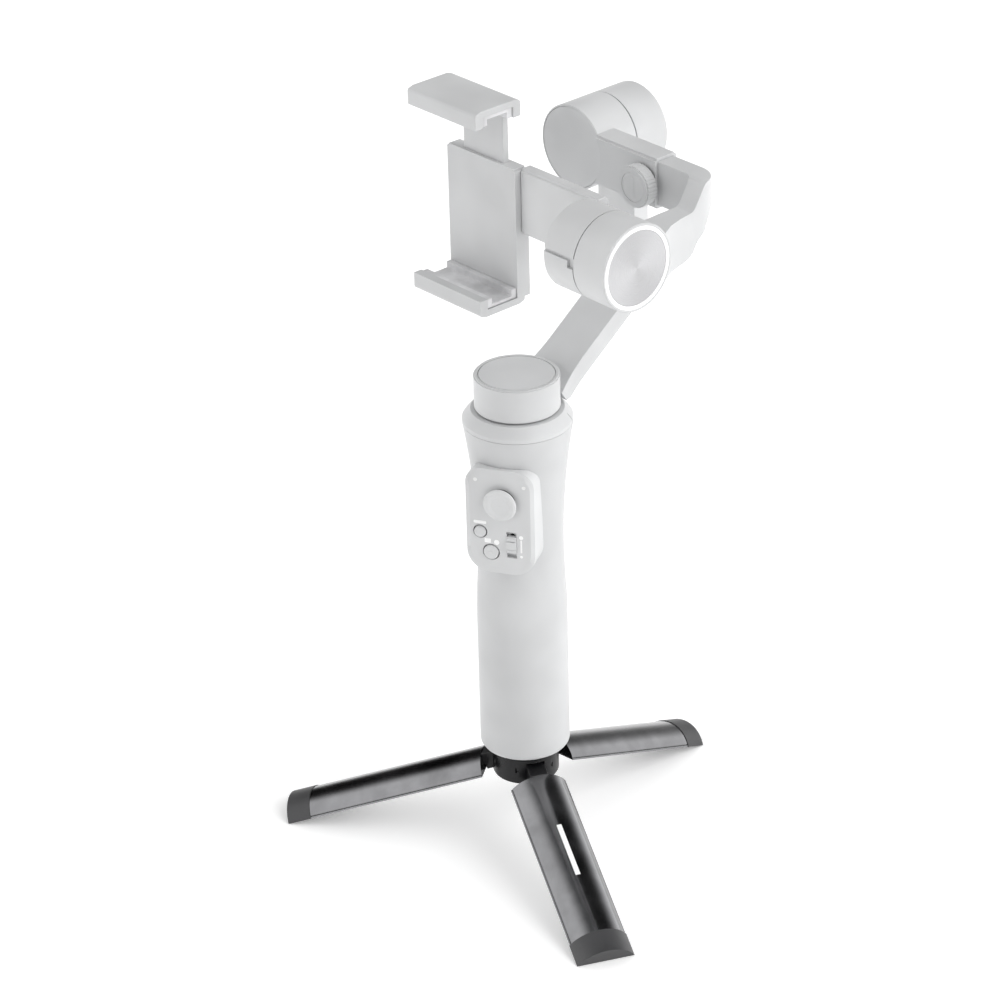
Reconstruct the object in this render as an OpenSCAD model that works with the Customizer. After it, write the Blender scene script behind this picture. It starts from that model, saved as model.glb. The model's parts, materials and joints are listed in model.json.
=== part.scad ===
// Three-axis handheld phone stabilizer standing on its folding mini tripod.
// Frame: +Z up, floor at z = 0, +X along the tilt axis to the right of the phone,
// +Y towards the back, origin under the middle of the whole stand.

/* [Tripod] */
// Distance of the leg pivot from the pan axis
leg_pivot_r = 10.8; // [8:0.1:14]
// Height of the leg pivots above the floor
leg_pivot_z = 39.85; // [30:0.05:50]
// Slope of an opened leg below the horizontal, in degrees
leg_slope = 21; // [15:0.5:30]
// Radius of the round bundle that the three folded legs make
leg_bundle_r = 14.35; // [12:0.05:18]
// Distance from the pivot to the start of the leg tube
leg_root = 7.8; // [7:0.1:10]
// Distance from the pivot to the end of the rubber foot
leg_reach = 102.4; // [80:0.1:130]
// Length of the rubber foot cap along the leg
foot_len = 11; // [6:0.5:18]
// Azimuth of the first leg, in degrees from +X
leg_azimuth = -24.2; // [-90:0.1:90]
// Top of the tripod hub
hub_top = 45.8; // [44:0.1:50]

/* [Handle] */
// Radius of the lower grip
grip_r = 19.3; // [16:0.1:24]
// Radius at the waist of the grip
waist_r = 18.2; // [15:0.1:22]
// Height of the waist
waist_z = 145; // [130:1:160]
// Radius of the shoulder under the pan motor
shoulder_r = 23.2; // [20:0.1:28]
// Height where the shoulder is widest
shoulder_z = 203; // [195:0.5:210]
// Underside of the handle
handle_bottom = 47.2; // [45:0.1:55]
// Wall of the grip shells
shell_wall = 2; // [1.2:0.1:3]
// Turn of the control panel about the handle, in degrees
panel_yaw = 30; // [0:1:60]
// Height of the panel centre
panel_z = 167; // [150:0.5:180]
// Distance from the axis to the panel face
panel_face = 24.5; // [22:0.1:28]

/* [Pan motor and arm] */
// Radius of the pan motor
pan_r = 18; // [15:0.1:22]
// Height of the seam under the pan drum
pan_seam_z = 208.8; // [200:0.1:215]
// Top of the pan drum
pan_top_z = 224.1; // [218:0.1:232]
// Width of the pan arm
arm_w = 21.8; // [16:0.2:28]
// Thickness of the pan arm
arm_t = 7.8; // [5:0.1:12]
// Rise of the lower part of the pan arm, in degrees
arm_rise = 36.3; // [20:0.5:60]
// Rear face of the upright part of the pan arm, behind the pan axis
arm_back_y = 65; // [55:0.5:75]

/* [Roll motor] */
// Height of the roll axis
roll_z = 314.6; // [300:0.1:330]
// Radius of the roll motor
roll_r = 18; // [15:0.1:22]
// Front face of the roll motor, behind the pan axis
roll_front_y = 33; // [25:0.25:45]
// Seam between the turning half and the fixed half
roll_seam_y = 52.8; // [45:0.1:60]
// Rear face of the roll motor
roll_back_y = 70.1; // [60:0.1:80]

/* [Balance arm] */
// Thickness of the balance arm
bal_t = 8.6; // [5:0.1:10]
// Height of the balance arm section
bal_h = 18.8; // [14:0.1:26]
// Middle height of the run inside the sleeve
bal_z = 313.9; // [305:0.1:320]
// Front face of the run inside the sleeve
bal_y = 33.2; // [30:0.1:40]
// Outer side of the forward run
bal_x = 78.4; // [70:0.1:90]
// Drop of the forward run before the tilt motor
bal_drop = 10.6; // [5:0.1:15]
// Radius of the clamp knob
knob_r = 8.8; // [6:0.1:12]

/* [Tilt motor and clamp] */
// Tilt axis, distance behind the pan axis
tilt_y = -12.7; // [-25:0.1:0]
// Height of the tilt axis
tilt_z = 303.5; // [290:0.1:320]
// Radius of the tilt motor
tilt_r = 18.2; // [15:0.1:22]
// Left end of the tilt motor
tilt_x0 = 51.8; // [45:0.1:60]
// Seam of the tilt motor
tilt_seam = 69; // [62:0.1:76]
// Right end of the tilt motor
tilt_x1 = 86.3; // [80:0.1:95]
// Left side of the jaws
jaw_x0 = -34; // [-45:0.5:-20]
// Width of the jaws
jaw_w = 41; // [30:0.5:60]
// Depth of the jaws, front to back
jaw_d = 24; // [18:0.5:30]
// Gap between the jaw liners, as the clamp stands open
jaw_gap = 80; // [58:0.5:84]

/* [Hidden] */
$fn = 64;
eps = 0.01;
fit = 0.05;
pan_x = -4;
pan_y = -17;
leg_sag = leg_bundle_r / 2;
leg_mid = leg_sag / 2;
drum_z = pan_seam_z + 0.4;
arm_front_y = arm_back_y - arm_t;
sleeve_x0 = 18.2;
sleeve_x1 = 50;
sleeve_y0 = 31.6;
sleeve_y1 = bal_y + bal_t + 1.6;
sleeve_z0 = bal_z - bal_h / 2 - 1.4;
sleeve_h = bal_h + 2.8;
knob_x = 43.5;
knob_z = 312.6;
panel_w = 26.4;
panel_h = 42.3;
panel_x = -0.6;
pod_rim = 23.2;
stick_at = [0.2, 8.9];
rocker_depth = 20.6;
mode_at = [-9.4, -5.7];
record_at = [-4.8, -14.8];
zoom_at = [4.2, -10.5];
lights_at = [[-11, 18.4], [10, 17.1]];
gap_z0 = tilt_z - jaw_gap / 2;
gap_z1 = gap_z0 + jaw_gap;
jaw_x1 = jaw_x0 + jaw_w;
jaw_xm = jaw_x0 + jaw_w / 2;
liner_t = 1.6;
lip = 3;
jaw_floor = 2.9;
jaw_top = jaw_floor + liner_t;

silver = [0.80, 0.82, 0.84];
pale = [0.72, 0.74, 0.77];
white = [0.94, 0.94, 0.95];
black = [0.06, 0.06, 0.07];
rubber = [0.13, 0.13, 0.14];
steel = [0.62, 0.63, 0.65];
copper = [0.72, 0.42, 0.22];
green = [0.08, 0.32, 0.2];
dark = [0.2, 0.2, 0.22];

handle_front_shell();
handle_rear_shell();
base_cap();
thread_insert();
control_pod();
status_lights();
shoulder_collar();
pan_stator_case();
pan_stator_core();
pan_bearing();
battery_cell();
main_circuit_board();
tripod_hub();
hub_pad();
mounting_stud();
leg_pins();
leg_tube_1();
leg_knuckle_1();
foot_cap_1();
leg_tube_2();
leg_knuckle_2();
foot_cap_2();
leg_tube_3();
leg_knuckle_3();
foot_cap_3();
joystick_rocker();
joystick_cap();
mode_button();
record_button();
zoom_slider();
pan_drum();
pan_cap();
pan_shaft();
pan_magnet_ring();
pan_arm();
roll_rear_case();
roll_rear_cover();
roll_stator_core();
roll_bearing();
roll_front_case();
roll_front_cover();
roll_magnet_ring();
roll_shaft();
balance_sleeve();
clamp_knob();
balance_arm();
tilt_fixed_case();
tilt_light_ring();
tilt_end_disc();
tilt_stator_core();
tilt_bearing();
tilt_rotor_case();
tilt_magnet_ring();
tilt_shaft();
clamp_bracket();
clamp_frame();
lower_jaw_liner();
upper_jaw();
upper_jaw_liner();

// ---- shared frames and shapes ----

// Everything is drawn about the pan axis and moved to its place in the stand
module about_pan() {
  translate([pan_x, pan_y, 0])
    children();
}

// Local z runs backwards along the roll axis
module about_roll() {
  about_pan()
    translate([0, 0, roll_z])
      rotate([-90, 0, 0])
        children();
}

// Local z runs to the right along the tilt axis
module about_tilt() {
  about_pan()
    translate([0, tilt_y, tilt_z])
      rotate([0, 90, 0])
        children();
}

// Local -Y faces out of the control panel
module about_panel() {
  about_pan()
    translate([0, 0, panel_z])
      rotate([0, 0, panel_yaw])
        children();
}

// Local x runs out along leg number n, local z is its upper normal
module about_leg(n) {
  about_pan()
    rotate([0, 0, leg_azimuth + 120 * (n - 1)])
      translate([leg_pivot_r, 0, leg_pivot_z])
        rotate([0, leg_slope, 0])
          children();
}

module ring(r_out, r_in, z0, z1) {
  translate([0, 0, z0])
    difference() {
      cylinder(r = r_out, h = z1 - z0);
      translate([0, 0, -1])
        cylinder(r = r_in, h = z1 - z0 + 2);
    }
}

module disc(r, z0, z1) {
  translate([0, 0, z0])
    cylinder(r = r, h = z1 - z0);
}

module block(x0, x1, y0, y1, z0, z1) {
  translate([x0, y0, z0])
    cube([x1 - x0, y1 - y0, z1 - z0]);
}

// Points of a quarter circle
function corner(cx, cy, r, a0) = [for (i = [0:10]) let (a = a0 + 9 * i) [cx + r * cos(a), cy + r * sin(a)]];

// Rectangle with its own radius for the upper and the lower corners
module round_rect(w, h, r_top, r_low) {
  polygon(concat(
    corner(w / 2 - r_top, h / 2 - r_top, r_top, 0),
    corner(r_top - w / 2, h / 2 - r_top, r_top, 90),
    corner(r_low - w / 2, r_low - h / 2, r_low, 180),
    corner(w / 2 - r_low, r_low - h / 2, r_low, 270)
  ));
}

// Rounded plate facing the panel, from depth y0 to y1 out along local -Y
module panel_plate(w, h, r_top, r_low, y0, y1) {
  translate([0, -y0, 0])
    rotate([90, 0, 0])
      linear_extrude(height = y1 - y0)
        round_rect(w, h, r_top, r_low);
}

module panel_cyl(x, z, r, y0, y1) {
  translate([x, -y0, z])
    rotate([90, 0, 0])
      cylinder(r = r, h = y1 - y0);
}

// ---- motors: the fixed half is below the seam plane z = seam ----

// Wound stator: a ring with twelve teeth
module stator(r_in, r_out, z0, z1) {
  ring(r_in + 2.4, r_in, z0, z1);
  for (i = [0:11]) {
    rotate([0, 0, 30 * i]) {
      block(r_in + 2.2, r_out - 1.2, -1.1, 1.1, z0, z1);
      block(r_out - 1.4, r_out, -2.4, 2.4, z0, z1);
    }
  }
}

// ---- tripod ----

// Round segment of a leg, flat side down, from s0 to s1 along the leg
module leg_bar(s0, s1, grow) {
  translate([s0, 0, 0])
    rotate([90, 0, 90])
      linear_extrude(height = s1 - s0)
        intersection() {
          translate([0, leg_sag - leg_mid - leg_bundle_r])
            circle(r = leg_bundle_r + grow, $fn = 96);
          translate([-20, -leg_mid - grow])
            square([40, leg_sag + 2 * grow + 1]);
        }
}

module leg_tube(n) {
  about_leg(n)
    difference() {
      leg_bar(leg_root, leg_reach - foot_len - 0.1, 0);
      // long grooves down both edges
      for (s = [-1, 1]) {
        block(leg_root - 1, leg_reach, s * 11.9 - 0.15, s * 11.9 + 0.15, -3.1, 3);
      }
      // hollow under the leg
      block(leg_root + 6, leg_reach - foot_len - 2, -6, 6, -leg_mid - 1, -leg_mid + 3.4);
      // socket for the knuckle
      block(leg_root - 1, leg_root + 5.06, -4.06, 4.06, -2.06, 2.06);
    }
}

module leg_knuckle(n) {
  about_leg(n)
    difference() {
      union() {
        rotate([90, 0, 0])
          cylinder(r = 3.5, h = 8, center = true);
        block(0, leg_root - 0.05, -4, 4, -3.3, 3.3);
        block(leg_root - 0.1, leg_root + 5, -4, 4, -2, 2);
        block(4.6, leg_root - 0.05, -4, 4, -4.6, -3);
      }
      rotate([90, 0, 0])
        cylinder(r = 1.5 + fit, h = 12, center = true);
    }
}

// Third of a full turn about the bundle's axis, so that folded feet stay clear of each other
module leg_sector(s0, s1) {
  translate([s0, 0, leg_sag - leg_mid - leg_bundle_r])
    rotate([90, 0, 90])
      linear_extrude(height = s1 - s0)
        polygon([[0, 0], [40 * sin(60), 40 * cos(60)], [0, 60], [-40 * sin(60), 40 * cos(60)]]);
}

module foot_cap(n) {
  difference() {
    about_leg(n)
      intersection() {
        leg_bar(leg_reach - foot_len, leg_reach, 0.3);
        leg_sector(leg_reach - foot_len - 1, leg_reach + 1);
      }
    translate([-200, -200, -20])
      cube([400, 400, 20]);
  }
}

module leg_tube_1() {
  color(black) leg_tube(1);
}

module leg_tube_2() {
  color(black) leg_tube(2);
}

module leg_tube_3() {
  color(black) leg_tube(3);
}

module leg_knuckle_1() {
  color(dark) leg_knuckle(1);
}

module leg_knuckle_2() {
  color(dark) leg_knuckle(2);
}

module leg_knuckle_3() {
  color(dark) leg_knuckle(3);
}

module foot_cap_1() {
  color(rubber) foot_cap(1);
}

module foot_cap_2() {
  color(rubber) foot_cap(2);
}

module foot_cap_3() {
  color(rubber) foot_cap(3);
}

module tripod_hub() {
  color(black) about_pan()
    difference() {
      union() {
        disc(leg_bundle_r - 0.4, hub_top - 12.4, hub_top - 11.6);
        disc(leg_bundle_r, hub_top - 11.6, hub_top - 0.8);
        disc(leg_bundle_r - 0.6, hub_top - 0.8, hub_top);
      }
      disc(3.1 + fit, 20, 60);
      for (n = [1:3]) {
        rotate([0, 0, leg_azimuth + 120 * (n - 1)]) {
          block(5.9, 20, -4.1, 4.1, 20, hub_top - 2.2);
          translate([leg_pivot_r, 0, leg_pivot_z])
            rotate([90, 0, 0])
              cylinder(r = 1.5 + fit, h = 17, center = true);
        }
      }
    }
}

module leg_pins() {
  color(steel)
    for (n = [1:3]) {
      about_leg(n)
        rotate([90, 0, 0])
          cylinder(r = 1.5, h = 16, center = true);
    }
}

module hub_pad() {
  color(rubber) about_pan()
    ring(leg_bundle_r - 0.5, 3.1 + fit, hub_top, handle_bottom);
}

module mounting_stud() {
  color(steel) about_pan() {
    disc(3.1, hub_top - 11.4, handle_bottom + 8);
    for (i = [0:5]) {
      ring(3.14, 3.05, hub_top + 2.4 + 1.2 * i, hub_top + 3 + 1.2 * i);
    }
  }
}

// ---- handle ----

// Outer radius of the grip at height z
function grip_at(z) =
  z < 110 ? grip_r :
  z < waist_z ? waist_r + (grip_r - waist_r) * (1 + cos(180 * (z - 110) / (waist_z - 110))) / 2 :
  waist_r + (shoulder_r - waist_r) * pow((z - waist_z) / (shoulder_z - waist_z), 2);

module grip_solid(inset, z0, z1) {
  steps = 22;
  rotate_extrude($fn = 128)
    polygon(concat(
      [[0, z0]],
      [for (i = [0:steps]) let (z = z0 + (z1 - z0) * i / steps) [grip_at(z) - inset, z]],
      [[0, z1]]
    ));
}

module grip_wall() {
  difference() {
    union() {
      rotate_extrude($fn = 128)
        polygon([
          [0, handle_bottom + 2.6], [grip_r, handle_bottom + 2.6], [grip_r, 90], [0, 90]
        ]);
      grip_solid(0, 89.9, 202.5);
    }
    disc(grip_r - shell_wall, handle_bottom, 95);
    grip_solid(shell_wall, 94.9, 203);
  }
}

module handle_front_shell() {
  color(silver)
    difference() {
      about_pan() grip_wall();
      about_pan()
        rotate([0, 0, panel_yaw])
          block(-40, 40, 1.92, 60, 0, 300);
      about_panel()
        panel_plate(27.2, 44.8, 5.4, 5.4, 5, 30);
    }
}

module handle_rear_shell() {
  color(silver)
    difference() {
      about_pan() grip_wall();
      about_pan()
        rotate([0, 0, panel_yaw])
          block(-40, 40, -60, 2.08, 0, 300);
      // charging socket in the lower back
      about_pan()
        rotate([0, 0, panel_yaw])
          block(-4.6, 4.6, 14, 24, 62, 65.4);
    }
}

module base_cap() {
  color(pale) about_pan()
    difference() {
      rotate_extrude($fn = 128)
        polygon([
          [0, handle_bottom], [16.2, handle_bottom], [17.5, handle_bottom + 0.3],
          [18.5, handle_bottom + 1], [19.1, handle_bottom + 1.9], [grip_r - 0.03, handle_bottom + 2.5],
          [grip_r - shell_wall - 0.1, handle_bottom + 2.5],
          [grip_r - shell_wall - 0.1, handle_bottom + 6], [0, handle_bottom + 6]
        ]);
      disc(5.05, 0, 80);
    }
}

module thread_insert() {
  color(steel) about_pan()
    difference() {
      union() {
        disc(5, handle_bottom + 0.1, handle_bottom + 6.5);
        disc(7, handle_bottom + 6.02, handle_bottom + 7.5);
      }
      disc(3.14 + fit, 0, handle_bottom + 9);
    }
}

// Panel body with pockets for its controls
module control_pod() {
  color(pale) about_panel()
    difference() {
      union() {
        difference() {
          union() {
            hull() {
              translate([panel_x, 0, -0.5])
                panel_plate(panel_w, panel_h, 5, 8.5, panel_face - 0.1, panel_face);
              translate([panel_x - 0.3, 0, -1])
                panel_plate(29.8, panel_h + 6, 7, 10, pod_rim - 0.5, pod_rim);
            }
            translate([panel_x - 0.3, 0, -1])
              panel_plate(29.8, panel_h + 6, 7, 10, 6, pod_rim - 0.4);
          }
          translate([0, 0, -panel_z])
            grip_solid(-0.1, 120, 201);
        }
        panel_plate(26.8, 44.2, 5, 5, 13.5, 20.7);
      }
      // wiring space behind the face
      panel_plate(22, 39, 2, 2, 13, 18.4);
      // joystick well with the bearings of its rocker
      panel_cyl(stick_at[0], stick_at[1], 6.2, 18, 30);
      translate([stick_at[0], -rocker_depth, stick_at[1]])
        rotate([0, 90, 0])
          cylinder(r = 0.85, h = 13.8, center = true);
      // each button has a guide and a wider ring around its top
      panel_cyl(mode_at[0], mode_at[1], 2, 18, 30);
      panel_cyl(mode_at[0], mode_at[1], 3.1, 22, 30);
      panel_cyl(record_at[0], record_at[1], 2.4, 18, 30);
      panel_cyl(record_at[0], record_at[1], 3.7, 22, 30);
      // shallow slot of the zoom slider, with a narrow one for its stem
      translate([zoom_at[0], 0, zoom_at[1]]) {
        panel_plate(4.5, 12.1, 0.4, 0.4, 22.6, 30);
        panel_plate(2.6, 9.2, 1.2, 1.2, 18, 30);
      }
      // windows of the status lights
      for (p = lights_at) {
        panel_cyl(p[0], p[1], 0.85, 18, 30);
      }
    }
}

module status_lights() {
  color(white) about_panel()
    for (p = lights_at) {
      panel_cyl(p[0], p[1], 0.8, 18.5, panel_face + 0.1);
    }
}

module joystick_rocker() {
  color(dark) about_panel()
    translate([stick_at[0], -rocker_depth, stick_at[1]])
      difference() {
        union() {
          rotate([90, 0, 0])
            cylinder(r = 5.3, h = 2, center = true);
          rotate([0, 90, 0])
            cylinder(r = 0.8, h = 13.4, center = true);
        }
        rotate([90, 0, 0])
          cylinder(r = 3.9, h = 4, center = true);
        cylinder(r = 0.75, h = 12, center = true);
      }
}

module joystick_cap() {
  color(pale) about_panel()
    translate([stick_at[0], 0, stick_at[1]]) {
      panel_cyl(0, 0, 3.5, rocker_depth - 1.4, rocker_depth + 1.6);
      panel_cyl(0, 0, 2.2, rocker_depth, 26.4);
      translate([0, -rocker_depth, 0])
        cylinder(r = 0.7, h = 9.8, center = true);
      translate([0, -26, 0])
        rotate([90, 0, 0])
          rotate_extrude($fn = 96)
            polygon([
              [0, 0], [6.4, 0], [7.1, 0.5], [7.2, 1], [6.9, 1.6], [6.2, 1.95],
              [5, 1.9], [3.6, 1.5], [0, 1.35]
            ]);
    }
}

module mode_button() {
  color(pale) about_panel()
    translate([mode_at[0], 0, mode_at[1]]) {
      panel_cyl(0, 0, 1.95, 18.9, 23);
      panel_cyl(0, 0, 2.55, 22.7, panel_face + 0.5);
      panel_cyl(0, 0, 2.3, panel_face + 0.4, panel_face + 0.75);
    }
}

module record_button() {
  color(pale) about_panel()
    translate([record_at[0], 0, record_at[1]]) {
      panel_cyl(0, 0, 2.35, 18.9, 23);
      panel_cyl(0, 0, 3.2, 22.7, panel_face + 0.5);
      panel_cyl(0, 0, 2.95, panel_face + 0.4, panel_face + 0.75);
      panel_cyl(0, 0, 0.9, panel_face + 0.7, panel_face + 0.95);
    }
}

module zoom_slider() {
  color(pale) about_panel()
    translate([zoom_at[0], 0, zoom_at[1]]) {
      panel_plate(2.5, 4.8, 1.2, 1.2, 19, 23);
      panel_plate(4.3, 7.6, 0.4, 0.4, 22.7, panel_face + 0.2);
      panel_plate(4.1, 3.4, 0.3, 0.3, panel_face + 0.1, panel_face + 1);
      for (k = [-1, 1]) {
        translate([0, 0, 2.6 * k])
          panel_plate(3.9, 1.1, 0.3, 0.3, panel_face + 0.1, panel_face + 0.6);
      }
    }
}

module battery_cell() {
  color(green) about_pan() {
    disc(9.2, 62, 126);
    disc(3, 125.9, 127.4);
  }
}

module main_circuit_board() {
  color(green) about_panel() {
    block(-10, 10, -12.6, -11, -28, 22);
    block(-8, 0, -11.1, -9.6, -20, -12);
    block(-6, 4, -11.1, -9.4, 0, 10);
    block(1, 8, -11.1, -9.6, -22, -16);
  }
}

module shoulder_collar() {
  color(silver) about_pan()
    difference() {
      rotate_extrude($fn = 128)
        polygon([
          [shoulder_r - 3.4, 202.7], [shoulder_r, 202.7], [shoulder_r, 204.4],
          [shoulder_r - 0.8, 205.6], [19.6, 208.6], [17.1, 208.6], [17.1, 206.6]
        ]);
      // joint line between the two collar halves
      rotate([0, 0, panel_yaw])
        block(20.9, 30, 1.9, 2.3, 190, 212);
    }
}

module pan_stator_case() {
  color(silver) about_pan()
    translate([0, 0, pan_seam_z])
      difference() {
        union() {
          disc(17, -2.1, -0.3);
          disc(5.6, -10, 9.4);
        }
        disc(4.1, -8, 12);
        disc(2.6, -14, 12);
      }
}

module pan_stator_core() {
  color(copper) about_pan()
    stator(5.65, 12.6, pan_seam_z + 0.9, pan_seam_z + 8.4);
}

module pan_bearing() {
  color(steel) about_pan() {
    ring(4.05, 2.05, pan_seam_z - 7.9, pan_seam_z - 4.9);
    ring(4.05, 2.05, pan_seam_z + 6, pan_seam_z + 9);
  }
}

// ---- turning half of the pan motor, with the pan arm ----

module pan_drum() {
  color(silver) about_pan()
    difference() {
      union() {
        disc(pan_r - 0.4, drum_z, drum_z + 0.5);
        disc(pan_r, drum_z + 0.5, pan_top_z - 0.5);
        disc(pan_r - 0.5, pan_top_z - 0.5, pan_top_z);
      }
      disc(15.6, drum_z - 1, pan_top_z - 4);
      disc(16.2, pan_top_z - 1.5, pan_top_z + 1);
      disc(2, 190, 230);
    }
}

module pan_cap() {
  color(pale) about_pan() {
    disc(16.1, pan_top_z - 1.45, pan_top_z - 0.5);
    disc(15.8, pan_top_z - 0.5, pan_top_z - 0.1);
  }
}

module pan_shaft() {
  color(steel) about_pan()
    disc(1.99, pan_seam_z - 9.5, pan_top_z - 1.55);
}

module pan_magnet_ring() {
  color(dark) about_pan()
    ring(15.55, 13.2, drum_z + 0.4, drum_z + 8.6);
}

// Side view of the pan arm: x is distance behind the pan axis, y is height
module arm_side() {
  bend_in = 7;
  bend_out = bend_in + arm_t;
  steps = 12;
  cx = arm_back_y - bend_out;
  cz = 251.5;
  a0 = arm_rise - 90;
  dx = 52 * cos(arm_rise);
  dz = 52 * sin(arm_rise);
  polygon(concat(
    [[cx + bend_out * cos(a0) - dx, cz + bend_out * sin(a0) - dz]],
    [for (i = [0:steps]) let (a = a0 * (1 - i / steps)) [cx + bend_out * cos(a), cz + bend_out * sin(a)]],
    [[arm_back_y, roll_z], [arm_front_y, roll_z]],
    [for (i = [0:steps]) let (a = a0 * i / steps) [cx + bend_in * cos(a), cz + bend_in * sin(a)]],
    [[cx + bend_in * cos(a0) - dx, cz + bend_in * sin(a0) - dz]]
  ));
}

// Plan of the pan arm: it flares out where it leaves the drum
module arm_flare() {
  steps = 10;
  y0 = 5;
  y1 = 31;
  w = arm_w / 2;
  polygon(concat(
    [[-17.6, 0], [17.6, 0]],
    [for (i = [0:steps]) let (t = i / steps) [w + (17.6 - w) * pow(1 - t, 2.4), y0 + (y1 - y0) * t]],
    [[w, 90], [-w, 90]],
    [for (i = [steps:-1:0]) let (t = i / steps) [-w - (17.6 - w) * pow(1 - t, 2.4), y0 + (y1 - y0) * t]]
  ));
}

module pan_arm() {
  color(silver) about_pan()
    difference() {
      intersection() {
        translate([-30, 0, 0])
          rotate([90, 0, 90])
            linear_extrude(height = 60)
              arm_side();
        translate([0, 0, drum_z + 1])
          linear_extrude(height = roll_z - drum_z - 3)
            arm_flare();
      }
      disc(pan_r + 0.02, 190, 240);
      // seat of the roll motor
      translate([0, 90, roll_z])
        rotate([90, 0, 0])
          cylinder(r = roll_r + 0.02, h = 80);
    }
}

// ---- roll motor ----

module roll_rear_case() {
  color(silver) about_roll()
    difference() {
      union() {
        disc(roll_r, roll_seam_y + 0.25, roll_back_y - 0.8);
        disc(roll_r - 0.7, roll_back_y - 1, roll_back_y);
      }
      disc(roll_r - 2, roll_seam_y, roll_seam_y + 8);
      disc(roll_r - 3.4, roll_back_y - 1.4, roll_back_y + 1);
      disc(4.1, roll_seam_y, roll_back_y - 3);
    }
}

module roll_rear_cover() {
  color(pale) about_roll()
    disc(roll_r - 3.45, roll_back_y - 1.35, roll_back_y - 0.2);
}

module roll_bearing() {
  color(steel) about_roll()
    ring(4.05, 2.05, roll_seam_y + 8.5, roll_seam_y + 13);
}

module roll_stator_core() {
  color(copper) about_roll() {
    stator(5.65, 12.6, roll_seam_y - 6, roll_seam_y + 3);
    ring(5.7, 4.2, roll_seam_y - 6, roll_seam_y + 7.95);
  }
}

module roll_front_case() {
  color(silver) about_roll()
    difference() {
      union() {
        disc(roll_r - 0.3, roll_front_y, roll_front_y + 0.4);
        disc(roll_r, roll_front_y + 0.3, roll_seam_y - 0.25);
      }
      disc(roll_r - 2.4, roll_front_y + 4, roll_seam_y + 1);
      disc(roll_r - 0.75, roll_front_y - 1, roll_front_y + 1.1);
      disc(2, roll_front_y - 1, roll_seam_y);
    }
}

module roll_front_cover() {
  color(pale) about_roll()
    disc(roll_r - 0.85, roll_front_y + 0.1, roll_front_y + 1.05);
}

module roll_magnet_ring() {
  color(dark) about_roll()
    ring(roll_r - 2.45, 13.2, roll_seam_y - 8, roll_seam_y - 0.5);
}

module roll_shaft() {
  color(steel) about_roll()
    disc(1.99, roll_front_y + 1.15, roll_seam_y + 12.8);
}

// Sleeve on the turning half; the balance arm slides in it
module balance_sleeve() {
  color(silver) about_pan()
    difference() {
      union() {
        block(10, sleeve_x1, sleeve_y0 + 1, sleeve_y1 - 1, sleeve_z0, sleeve_z0 + sleeve_h);
        block(10, sleeve_x1, sleeve_y0, sleeve_y1, sleeve_z0 + 1, sleeve_z0 + sleeve_h - 1);
        translate([knob_x, sleeve_y0 + 1, knob_z])
          rotate([90, 0, 0])
            cylinder(r = 5.2, h = 1.4);
      }
      translate([0, 60, roll_z])
        rotate([90, 0, 0])
          cylinder(r = roll_r + 0.02, h = 60);
      block(20, 60, bal_y - fit, bal_y + bal_t + fit, bal_z - bal_h / 2 - fit, bal_z + bal_h / 2 + fit);
      translate([knob_x, 60, knob_z])
        rotate([90, 0, 0])
          cylinder(r = 2.05, h = 60);
    }
}

// Ribbed clamping knob with its screw
module clamp_knob() {
  color(silver) about_pan()
    translate([knob_x, sleeve_y0 - 0.6, knob_z])
      rotate([90, 0, 0]) {
        difference() {
          union() {
            disc(knob_r - 0.6, 0, 0.7);
            disc(knob_r, 0.6, 5);
            disc(knob_r - 0.7, 4.9, 5.7);
          }
          for (i = [0:35]) {
            rotate([0, 0, 10 * i])
              translate([knob_r + 0.25, 0, -1])
                cylinder(r = 0.55, h = 9, $fn = 8);
          }
          disc(6.2, 5.3, 7);
        }
        disc(2, -1.8, 0.1);
      }
}

// ---- balance arm and fixed half of the tilt motor ----

module arm_plan() {
  r = 12;
  x = bal_x;
  y = bal_y + bal_t;
  run_x0 = x - 8.8;
  steps = 16;
  polygon(concat(
    [[22, bal_y], [run_x0 - 3, bal_y], [run_x0 - 0.9, bal_y - 0.9], [run_x0, bal_y - 3]],
    [[run_x0, 16], [tilt_seam + 1, 5], [tilt_seam + 1, -12], [tilt_x1 - 1, -12], [tilt_x1 - 1, 3]],
    [[x + 3, 10], [x + 1, 17], [x, 23]],
    [for (i = [0:steps]) let (a = 90 * i / steps) [x - r + r * cos(a), y - r + r * sin(a)]],
    [[22, y]]
  ));
}

module arm_profile() {
  h = bal_h / 2;
  z0 = bal_z;
  z1 = bal_z - bal_drop;
  polygon([
    [60, z0 + h], [33.6, z0 + h], [32, z0 + h - 0.5], [30.8, z0 + h - 1.7],
    [26.2, z1 + h + 1.6], [25.2, z1 + h + 0.6], [23.6, z1 + h],
    [-12, z1 + h], [-12, z1 - h - 1], [18, z1 - h - 1], [22.6, z1 - h - 0.2], [24.8, z1 - h + 1.6],
    [27, z1 - h + 5.2], [33, z0 - h], [60, z0 - h]
  ]);
}

module balance_arm() {
  color(silver) about_pan()
    difference() {
      intersection() {
        translate([0, 0, 250])
          linear_extrude(height = 120)
            arm_plan();
        rotate([90, 0, 90])
          linear_extrude(height = 120)
            arm_profile();
      }
      translate([0, tilt_y, tilt_z])
        rotate([0, 90, 0])
          cylinder(r = tilt_r + 0.02, h = 200);
      // the outer corner is cut away underneath
      translate([bal_x - 7, 0, 0])
        rotate([90, 0, 90])
          linear_extrude(height = 20)
            polygon([
              [50, 320], [50, 290], [32, 290], [32, bal_z - bal_h / 2],
              [34.5, bal_z - bal_h / 2 + 4], [40.2, bal_z - 1]
            ]);
    }
}

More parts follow.
